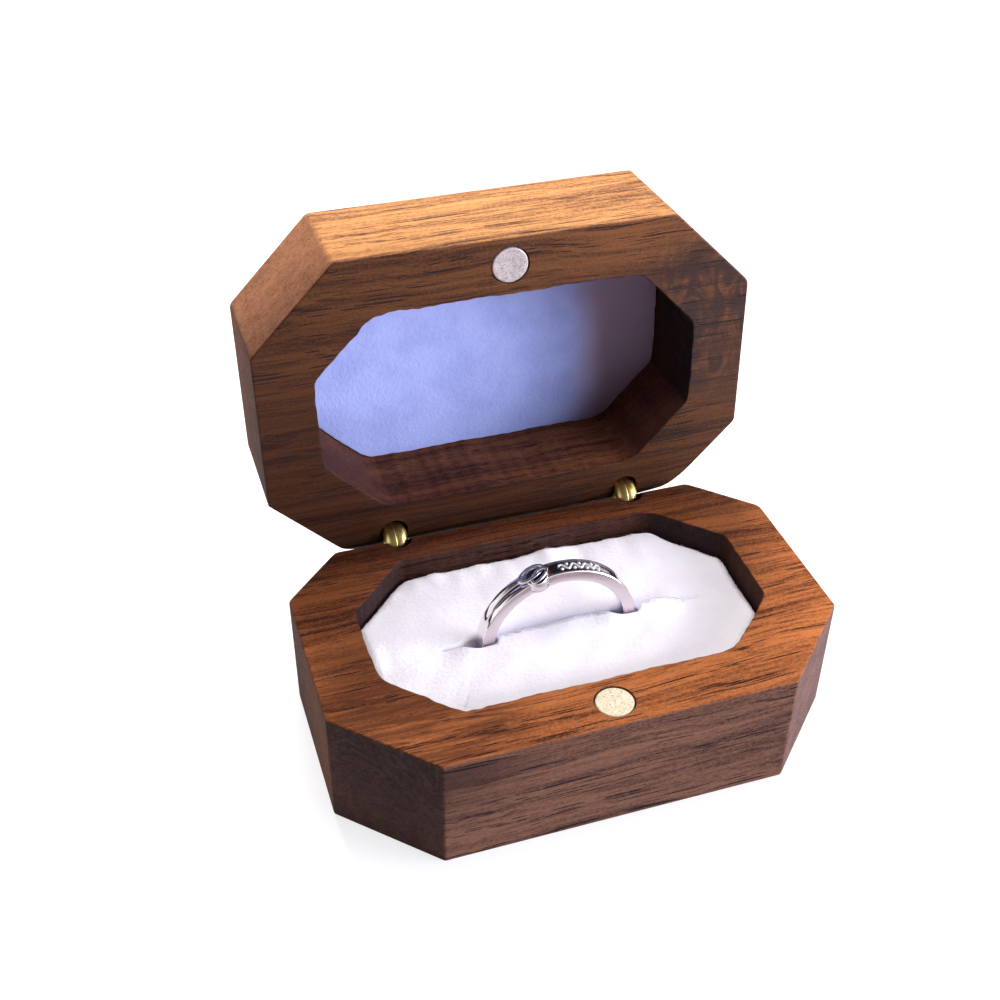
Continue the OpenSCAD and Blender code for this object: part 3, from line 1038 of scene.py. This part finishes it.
for side, word in SIDES:
    for name, outward in (("outer", 1), ("inner", -1)):
        shut = LINKS_PLACE @ shift(side * HINGE_X, HINGE_Y, BASE_H - PIN_DEPTH)
        plate = placed(link_plate(), shut, Matrix.Diagonal((side * outward, 1, 1, 1)))
        drill = round_rod(PIN_R + PIN_GAP, -LINK_W, LINK_W, 32)
        bores = [placed(drill, shut, along_x(z)) for z in (0, PIN_REACH)]
        link = f"link_{word}_{name}"
        make_piece(link, plate, BRASS, "hinge_links", ["hinge_" + link], sharp=50, cuts=[bores])


# ---- the ring

CHANNEL_ENDS = (42, 97)
BOSS_ANGLE = 107.6
BOSS_R = 1.52
BOSS_FOOT = 1.5
BOSS_HEAD = 0.12
SPLIT_ENDS = (120, 150)
KNOT_WIRE_R = 0.22
VINE_ENDS = (58, 91)
VINE_WAVE = math.radians(38)
VINE_SWAY = 0.42
VINE_R = 0.17
BEAD_R = 0.24
BEADS = 7


def on_ring(angle, across, radius):
    """Points at angles round the ring in degrees, distances across the band and radii."""
    x, z = np.moveaxis(ways(np.radians(angle)), -1, 0)
    parts = np.broadcast_arrays(radius * x, across + 0 * x, radius * z)
    return np.stack(parts, -1) + RING_CENTRE


def band_part():
    """The band: a rounded section carried round the ring.

    The section's outer face drops into a flat channel over one shoulder, and is crowned into
    two strands over the split shoulder. Pairs of close rings stand where the channel ends.
    """
    first, last = CHANNEL_ENDS
    angle = np.concatenate([np.arange(0, 360, 1.5), [first, first + 0.6, last - 0.6, last]])
    angle = np.unique(np.round(angle, 3))[:, None]
    half, ease = RING_W / 2, 0.2
    lip = half - CHANNEL_LIP
    face = np.array([-half + ease, -lip, -lip + 0.05, -0.62, -0.32, -0.1])
    face = np.concatenate([face, [0.0], -face[::-1]])
    channel = smooth_step(angle, first, first + 0.6) * (1 - smooth_step(angle, last - 0.6, last))
    strands = smooth_step(angle, 112, 120) * (1 - smooth_step(angle, 145, 160))
    dip = CHANNEL_DEPTH * channel * (np.abs(face) <= lip - 0.04)
    from_strand = np.clip((np.abs(face) - 0.74) / 0.62, -1, 1)
    crown = 0.34 * (1 - np.sqrt(1 - from_strand**2 * 0.98)) * strands

    sine, cosine = quarter_turn(4).T
    inner = RING_R - RING_WALL + 0 * angle
    flank = np.concatenate([half - ease + ease * sine[1:], [half], half - ease + ease * cosine])
    outer_edge = RING_R - ease + ease * cosine[1:] - crown[:, -1:]
    levels = [outer_edge, inner + ease + 0.3, inner + ease - ease * sine]
    flank_radii = np.concatenate(levels, 1)
    across = np.concatenate([face, flank, [0.7, 0.0, -0.7], -flank[::-1]])
    bore = np.repeat(inner - 0.05, 3, 1)
    radii = [RING_R - dip - crown, flank_radii, bore, flank_radii[:, ::-1]]
    return tube(on_ring(angle, across, np.concatenate(radii, 1)), closed=True)


def tube_along(path, radius, up, sides=14, closed=True):
    """A round wire along a path, with its section set by an up direction."""
    ahead = np.roll(path, -1, 0) - np.roll(path, 1, 0)
    if not closed:
        ahead[0] = path[1] - path[0]
        ahead[-1] = path[-1] - path[-2]
    ahead = unit(ahead)
    sideways = unit(np.cross(ahead, up))
    turn = ways(np.linspace(0, 2 * math.pi, sides, endpoint=False))
    section = turn @ np.stack([sideways, np.cross(sideways, ahead)], 1)
    return tube(path[:, None] + radius * section, closed)


def ring_outwards(points):
    """The direction away from the ring's axis at each point."""
    return unit((points - RING_CENTRE) * [1, 0, 1])


def knot_loop(along, across, long_radius, short_radius, lean, rise, phase):
    """One oval loop of the knot, leaning across the band and rising over the other loop.

    The loop is an oval in the plane that touches the band, turned by its lean, and its height
    goes up and down once round.
    """
    t = np.linspace(0, 2 * math.pi, 56, endpoint=False)
    oval = ways(t) * [long_radius, short_radius]
    tilt = math.radians(lean)
    s = along + oval @ [math.cos(tilt), -math.sin(tilt)]
    a = across + oval @ [math.sin(tilt), math.cos(tilt)]
    height = 0.36 + rise * np.cos(t + phase) - 0.3 * s**2 / (2 * RING_R)
    path = on_ring(KNOT_ANGLE + np.degrees(s / RING_R), a, RING_R + height)
    return tube_along(path, KNOT_WIRE_R, ring_outwards(path))


def boss_part():
    """A round boss through the band, its axis along the ring's radius, with eased edges."""
    low, high = RING_R - BOSS_FOOT, RING_R + BOSS_HEAD
    profile = [(0.02, low), (BOSS_R - 0.1, low), (BOSS_R, low + 0.1), (BOSS_R, high - 0.16)]
    profile += [(BOSS_R - 0.05, high - 0.05), (BOSS_R - 0.16, high), (0.02, high)]
    lean = Matrix.Rotation(math.radians(90 - BOSS_ANGLE), 4, "Y")
    return placed(lathe(profile, 40), shift(*(RING_CENTRE + [0, KNOT_ACROSS, 0])) @ lean)


def make_ring():
    """The split band, the boss with its knot of two loops, and the beaded vine in the channel.

    The split is a lens that opens slowly and closes fast. The vine is a wire that waves from
    side to side along the channel's floor, with a bead in every bend.
    """
    angle = np.linspace(*SPLIT_ENDS, 24)
    middle = (angle - SPLIT_ENDS[0]) / (SPLIT_ENDS[1] - SPLIT_ENDS[0])
    half = 0.04 + 0.34 * middle**0.25 * (1 - middle) ** 0.8
    corners = ((-1, 0.6), (1, 0.6), (1, 1.25), (-1, 1.25))
    lens = [on_ring(angle, side * half, RING_R * reach) for side, reach in corners]
    split = tube(np.stack(lens, 1))
    make_piece("ring_band", band_part(), SILVER, "ring", ["ring"], sharp=50, cuts=[[split]])

    front = knot_loop(0.55, 0.22, 1.8, 0.98, -16, 0.1, 0.6)
    back = knot_loop(-0.35, -0.72, 1.3, 0.58, -32, 0.14, 0.6 + math.pi)
    make_piece("ring_knot", together([boss_part(), front, back]), SILVER, "ring", sharp=60)

    floor = RING_R - CHANNEL_DEPTH
    angle = np.linspace(*VINE_ENDS, 90)
    across = VINE_SWAY * np.sin((angle - VINE_ENDS[0]) * VINE_WAVE)
    path = on_ring(angle, across, floor + 0.3)
    vine = [tube_along(path, VINE_R, ring_outwards(path), sides=8, closed=False)]
    bead = lathe(BEAD_R * ways(np.linspace(-1.5, 1.5, 9)), 12)
    for bend in (np.arange(BEADS) + 0.5) * math.pi:
        place = on_ring(VINE_ENDS[0] + bend / VINE_WAVE, -VINE_SWAY * math.sin(bend), floor + 0.28)
        vine.append(placed(bead, shift(*place)))
    make_piece("ring_ornament", together(vine), BRIGHTENED_SILVER, "ring", sharp=60)


make_ring()


# ---- the slit cushion

CARD_TOP = node_box("cushion_card")[1][2]
CUSHION_TOP = node_box("cushion_velvet")[1][2]
CUSHION_GAP = 0.24
EDGE_PUFF = 1.3
SLIT_Y = RING_CENTRE[1]
SLIT_FROM = -17.0
SLIT_TO = 19.5
LIP_R = 0.75
LIP_LIFT = 1.25
SHUT_GAP = 0.06
RING_GAP = RING_W / 2 + 0.15
CLOTH_SCALE = 20
CLOTH_FRAMES = 9
CLOTH_REACH = 0.45 * MM


def cushion_level(points):
    """Level of the velvet's top.

    A soft rippled crown sags at the right end and dips behind the slit. The slit's front lip
    stands up, more on the right than on the left, and fades towards both ends of the slit.
    """
    x, y = points[..., 0], points[..., 1]
    ripple = 0.10 * np.sin(0.42 * x + 0.9) * np.cos(0.5 * y) + 0.07 * np.sin(0.9 * x - 0.7 * y)
    sag = 0.8 * smooth_step(x, 14, 27)
    behind = np.exp(-(((y - SLIT_Y - 1.6) / 2.2) ** 2)) * smooth_step(y, SLIT_Y, SLIT_Y + 0.6)
    dip = 0.55 * behind * (1 - smooth_step(np.abs(x - 0.5), 9, 17))
    before = np.exp(-(((SLIT_Y - y) / 3.6) ** 2)) * (y < SLIT_Y)
    lift = LIP_LIFT * before * (1 + 0.014 * x) * (1 - smooth_step(np.abs(x - 1), 11, 18))
    edge = 0.5 * np.exp(-(((x - 3) / 2.5) ** 2)) + 0.09 * np.sin(0.8 * x) - 0.06 * np.sin(1.9 * x)
    return CUSHION_TOP + 0.1 + ripple + lift + edge * smooth_step(y, 8, 14) - sag - dip


def slit_half_gap(x, level):
    """Half the slit's width: shut, but pressed open to the band's width where the ring passes.

    It closes up towards both of its ends. The opening fades with the distance from the ring's
    wall, slowly on the left of each leg and fast on its right, as the pushed-in ring leaves it.
    """
    from_centre = np.hypot(x - RING_CENTRE[0], np.minimum(level - RING_CENTRE[2], 0))
    outside = np.maximum(from_centre - RING_R, 0)
    inside = np.maximum(RING_R - RING_WALL - from_centre, 0)
    left_leg = x < RING_CENTRE[0]
    gone = smooth_step(np.where(left_leg, outside, inside), 0.15, 3.8)
    gone += smooth_step(np.where(left_leg, inside, outside), 0.15, 1.3)
    shut = SHUT_GAP * (1 - 0.8 * smooth_step(np.abs(x - 1), 8, 15))
    return shut + (RING_GAP - shut) * np.clip(1 - gone, 0, 1) ** 1.3


def mesh_points(mesh):
    """The places of a mesh's points as one row of numbers."""
    points = np.empty(3 * len(mesh.vertices))
    mesh.vertices.foreach_get("co", points)
    return points


def settle_velvet(piece, held):
    """Lets velvet swell over its foam in a short cloth simulation under a soft pressure.

    It is simulated on a copy, larger so that the cloth's own stiffness suits it. Held points
    stay where they are, and the others move by no more than the cloth's reach.
    """
    mesh = piece.data.copy()
    start = mesh_points(mesh)
    mesh.vertices.foreach_set("co", start * CLOTH_SCALE)
    sheet = link_in("settling_velvet", mesh)
    group = sheet.vertex_groups.new(name="held")
    for share in np.unique(held):
        group.add(np.flatnonzero(held == share).tolist(), float(share), "REPLACE")
    cloth = sheet.modifiers.new("settle", "CLOTH")
    cloth.settings.quality = 4
    cloth.settings.vertex_group_mass = "held"
    cloth.settings.use_pressure = True
    cloth.settings.uniform_pressure_force = 4.0
    cloth.settings.effector_weights.gravity = 0
    cloth.point_cache.frame_end = CLOTH_FRAMES
    for frame_number in range(1, CLOTH_FRAMES + 1):
        bpy.context.scene.frame_set(frame_number)
    end = mesh_points(sheet.evaluated_get(bpy.context.evaluated_depsgraph_get()).to_mesh())
    bpy.data.objects.remove(sheet)
    bpy.data.meshes.remove(mesh)
    bpy.context.scene.frame_set(1)
    moves = (end / CLOTH_SCALE - start).reshape(-1, 3)
    far = np.maximum(np.linalg.norm(moves, axis=1), 1e-9)[:, None]
    moves *= CLOTH_REACH * np.tanh(far / CLOTH_REACH) / far
    piece.data.vertices.foreach_set("co", start + moves.ravel())
    piece.data.update()


def make_cushion():
    """Rings from the card up the sides, over the puffed edge and across to the slit, then down it.

    Each point of the outline has a partner on the slit at the same angle about the middle of
    the box, and the rows between are blends of the two.
    """
    outline, out = recess_outline(BASE_RADII, 0.5, BASE_PHASE, CUSHION_GAP)
    along, aside = unit(outline).T
    slit_x = (SLIT_FROM + SLIT_TO) / 2 + (SLIT_TO - SLIT_FROM) / 2 * along
    side = np.sign(aside) * np.sqrt(np.clip((1 - np.abs(along)) / 0.02, 0, 1))
    lip_out = np.stack([along**9, side], -1)
    lip_out *= LIP_R / np.maximum(np.linalg.norm(lip_out, axis=1), 1e-3)[:, None]

    def slit_at(level):
        return np.stack([slit_x, SLIT_Y + side * slit_half_gap(slit_x, level)], -1)

    rings = [at_level(outline - out * 0.2, CARD_TOP), at_level(outline, CARD_TOP + 0.2)]
    puff_foot = cushion_level(outline) - EDGE_PUFF
    rings += rows_between(outline, CARD_TOP, puff_foot, (0.3, 0.6, 0.85))
    rings += over_edge(outline, out, EDGE_PUFF, 7, cushion_level)
    start = outline - out * EDGE_PUFF
    lip = slit_at(CUSHION_TOP)
    held = [1.0] * len(rings)
    for share in np.linspace(0, 1, 24)[1:-1]:
        points = start + (lip + lip_out - start) * share
        rings.append(at_level(points, cushion_level(points)))
        held.append(round(1 - math.sin(math.pi * share) ** 0.7, 3))
    for s, c in quarter_turn(7):
        points = lip + lip_out * (1 - s)
        rings.append(at_level(points, cushion_level(points) - LIP_R * (1 - c)))
    low_lip = cushion_level(lip) - LIP_R
    lips = len(rings)
    for share in np.linspace(0, 1, 14)[1:]:
        level = low_lip + (CARD_TOP + 0.05 - low_lip) * share
        rings.append(at_level(slit_at(level), level))
    cushion = new_object("velvet_cushion", tube(rings))
    held += [1.0] * (len(rings) - len(held))
    settle_velvet(cushion, np.repeat(held, len(outline)))
    # Painted shade: a band just behind the slit along its middle, and the velvet down inside the
    # slit, darkest where the ring holds the slit open.
    x, y = np.moveaxis(np.stack(rings)[..., :2], -1, 0)
    behind = smooth_step(y, SLIT_Y, SLIT_Y + 0.2) * np.exp(-(((y - SLIT_Y) / 2.2) ** 2))
    painted_shade = 0.5 * behind * (1 - smooth_step(np.abs(x - 0.5), 9, 15))
    deep = np.clip((np.arange(len(rings)) - lips + 1) / 6, 0, 1)[:, None]
    opened = (slit_half_gap(x, CUSHION_TOP) - SHUT_GAP) / (RING_GAP - SHUT_GAP)
    deep = deep * (0.4 + 0.6 * np.clip(2 * opened, 0, 1))
    mark_points(cushion, "painted_shade", np.maximum(painted_shade, deep).ravel())
    finish_piece(cushion, WHITE_VELVET, "base", ["cushion_velvet", "cushion_foam"], sharp=80)


make_cushion()


def make_fibres(name, roots, lean, length, thick, random):
    """Three-sided fibres of random length that lean at random about the directions given."""
    count = len(roots)
    lean = lean + np.column_stack([random.normal(0, 0.28, (count, 2)), np.zeros(count)])
    size = random.uniform(*length, count)[:, None]
    tips = roots + size * unit(lean)
    feet = at_level(thick * ways(np.radians([0, 120, 240])), 0)
    points = np.concatenate([roots[:, None] + feet, tips[:, None]], 1)
    corners = np.array([[0, 1, 3], [1, 2, 3], [2, 0, 3], [0, 2, 1]])
    faces = corners + 4 * np.arange(count)[:, None, None]
    part = points.reshape(-1, 3), faces.reshape(-1, 3).tolist()
    make_piece(name, part, WHITE_VELVET, "base", sharp=180)


def make_nap():
    """Stray pile: fibres that stand up along the slit's two lips and round the cushion's edge.

    A fibre's root lies on the lip's or the edge's quarter round, and clear of the ring's legs.
    """
    random = np.random.default_rng(5)
    x = random.uniform(SLIT_FROM + 2, SLIT_TO - 2, 2000)
    x = x[slit_half_gap(x, CUSHION_TOP) < 5 * SHUT_GAP]
    way = np.where(random.random(len(x)) < 0.85, -1.0, 1.0)
    from_gap = LIP_R * random.uniform(0.2, 1.5, len(x))
    spots = np.column_stack([x, SLIT_Y + way * (slit_half_gap(x, CUSHION_TOP) + from_gap)])
    inside = np.clip(1 - from_gap / LIP_R, 0, 1)
    drop = LIP_R * (1 - np.sqrt(1 - inside**2)) + 0.04
    roots = at_level(spots, cushion_level(spots) - drop)
    lean = np.column_stack([0 * x, -0.35 * way, np.ones(len(x))])
    make_fibres("velvet_slit_fibres", roots, lean, (0.15, 0.45), 0.035, random)

    outline, out = recess_outline(BASE_RADII, 0.035, BASE_PHASE, CUSHION_GAP)
    turn = random.uniform(0, 0.45 * math.pi, len(outline))
    rim = outline - out * (EDGE_PUFF * (1 - np.sin(turn)))[:, None]
    drop = EDGE_PUFF * (1 - np.cos(turn)) + 0.03
    roots = at_level(rim - out * 0.03, cushion_level(rim) - drop)
    lean = at_level(out * 0.3 * np.sin(turn)[:, None], 1)
    make_fibres("velvet_edge_fibres", roots, lean, (0.1, 0.3), 0.04, random)


make_nap()


# ---- the lid's lining and the cards

LINING_GAP = 0.12


def make_lining():
    """A thin velvet sheet laid on the lid's card, with a softly rounded edge.

    Rings run from the middle of its hidden face out to the edge and back over the seen face.
    """
    outline, out = recess_outline(LID_RADII, 0.6, LID_PHASE, LINING_GAP)
    low, high = (corner[2] for corner in node_box("lid_velvet", LID_PLACE))
    ease = 0.2
    hidden = (outline * 0.02, outline * 0.5, outline - out * 0.05)
    rings = [at_level(points, high) for points in hidden]
    for s, c in quarter_turn(5):
        rings.append(at_level(outline - out * ease * (1 - c), low + ease * (1 - s)))
    for share in (0.9, 0.7, 0.5, 0.3, 0.1, 0.02):
        points = (outline - out * ease) * share
        swell = 0.05 * np.sin(0.5 * points[:, 0]) * np.cos(0.6 * points[:, 1])
        rings.append(at_level(points, low + swell * (1 - share)))
    lining = make_piece(
        "velvet_lining",
        placed(tube(rings), LID_PLACE),
        LILAC_VELVET,
        "lid",
        ["lid_velvet"],
        sharp=80,
        # Painted shadow: the lining darkens towards its right end, where the lid's right wall
        # shades it.
        marks=("painted_shade", 0.5 * smooth_step(np.concatenate(rings)[:, 0], 11, 20)),
    )


make_lining()

CARD = paper_card()
for node in ("cushion_card", "lid_card"):
    frame["nodes"][node].data.materials.clear()
    frame["nodes"][node].data.materials.append(CARD)


# ---- camera, floor and light

CAMERA_PLACE = (-0.0521, -0.12954, 0.14338)
CAMERA_TURNS = ((-18.41, "Z"), (90 - 37.87, "X"), (0.62, "Z"))
FLOOR_HALF = 3.0
FLOOR_COLOUR = (0.32, 0.31, 0.34)
FLOOR_GLOW = 0.74
AIR_COLOUR = (0.95, 0.90, 1.0)
AIR_LEVEL = 0.08
CEILING_LEVEL = 0.06
BOX_MIDDLE = (0, 0, 0.025)
LAMP_AWAY = 0.8


def make_camera():
    """The camera, which looks down at the open box from its front left."""
    camera = link_in("camera", bpy.data.cameras.new("camera"))
    camera.data.lens = 50.09
    camera.data.sensor_width = 36.0
    camera.data.clip_start = 0.01
    place = shift(*CAMERA_PLACE)
    for angle, axis in CAMERA_TURNS:
        place = place @ Matrix.Rotation(math.radians(angle), 4, axis)
    camera.matrix_world = place
    bpy.context.scene.camera = camera


def make_floor():
    """A plain white floor that keeps the box's shadow and meets a white background.

    It glows for camera, glossy and transmission rays, and adds no light to what stands on it.
    Its glow grows with the distance from the box, as the lamps' light on it fades.
    """
    mesh = bpy.data.meshes.new("floor")
    corners = [(-1, -1), (1, -1), (1, 1), (-1, 1)]
    mesh.from_pydata([(x * FLOOR_HALF, y * FLOOR_HALF, 0) for x, y in corners], [], [range(4)])
    material, r = new_recipe(bpy.data.materials, "white_floor")
    path = r.shader("LightPath").outputs
    seen = r.most(path["Is Camera Ray"], path["Is Glossy Ray"])
    seen = r.most(seen, path["Is Transmission Ray"])
    away = r.vectors("LENGTH", r.shader("TexCoord").outputs["Object"], output="Value")
    level = r.times(r.spread(away, 0.25, 1.0, FLOOR_GLOW, 1.0), seen)
    matt = r.shader("BsdfDiffuse", {"Color": FLOOR_COLOUR, "Roughness": 0.0})
    glow = r.shader("Emission", {"Color": WHITE, "Strength": level})
    r.output("Material", r.shader("AddShader", {0: matt.outputs[0], 1: glow.outputs[0]}))
    mesh.materials.append(material)
    link_in("floor", mesh)


def make_world():
    """Even pale light from all round, with a white backdrop where the camera looks.

    Mirrors see the same white backdrop round the horizon, and a dim ceiling above it.
    """
    world, r = new_recipe(bpy.data.worlds, "studio")
    path = r.shader("LightPath").outputs
    way = r.parts(r.shader("TexCoord").outputs["Generated"])
    ceiling = r.spread(way["Z"], 0.3, 0.64, 1.0, CEILING_LEVEL)
    seen = r.most(path["Is Camera Ray"], path["Is Transmission Ray"])
    white = r.most(seen, r.times(path["Is Glossy Ray"], ceiling))
    sockets = {"Color": r.blend(white, AIR_COLOUR, WHITE), "Strength": r.most(white, AIR_LEVEL)}
    r.output("World", r.shader("Background", sockets))
    bpy.context.scene.world = world


def softbox(name, towards, size, level, colour, mirrored=True):
    """A square lamp that stands some way off and faces the box.

    Its power is set so that a surface square to it renders at the given level of its colour.
    """
    lamp = bpy.data.lights.new(name, "AREA")
    lamp.size = size
    lamp.energy = level * math.pi**2 * LAMP_AWAY**2
    lamp.color = colour
    made = link_in(name, lamp)
    made.visible_glossy = mirrored
    way = Vector(towards).normalized()
    turn = way.to_track_quat("Z", "Y").to_matrix().to_4x4()
    made.matrix_world = shift(*(Vector(BOX_MIDDLE) + way * LAMP_AWAY)) @ turn


make_camera()
make_floor()
make_world()
softbox("overhead", (0.15, 0.05, 1.0), 0.5, 0.86, (1.0, 0.99, 0.98), mirrored=False)
softbox("key_behind", (0.12, 1.0, 0.8), 0.35, 2.7, (1.0, 0.95, 0.88), mirrored=False)
softbox("front_fill", (0.9, -0.8, 0.35), 0.35, 0.70, (0.72, 0.81, 1.0))
softbox("side_fill", (1.0, -0.4, 0.12), 0.3, 1.6, (0.94, 0.93, 1.0))
bpy.context.scene.view_settings.view_transform = "Standard"
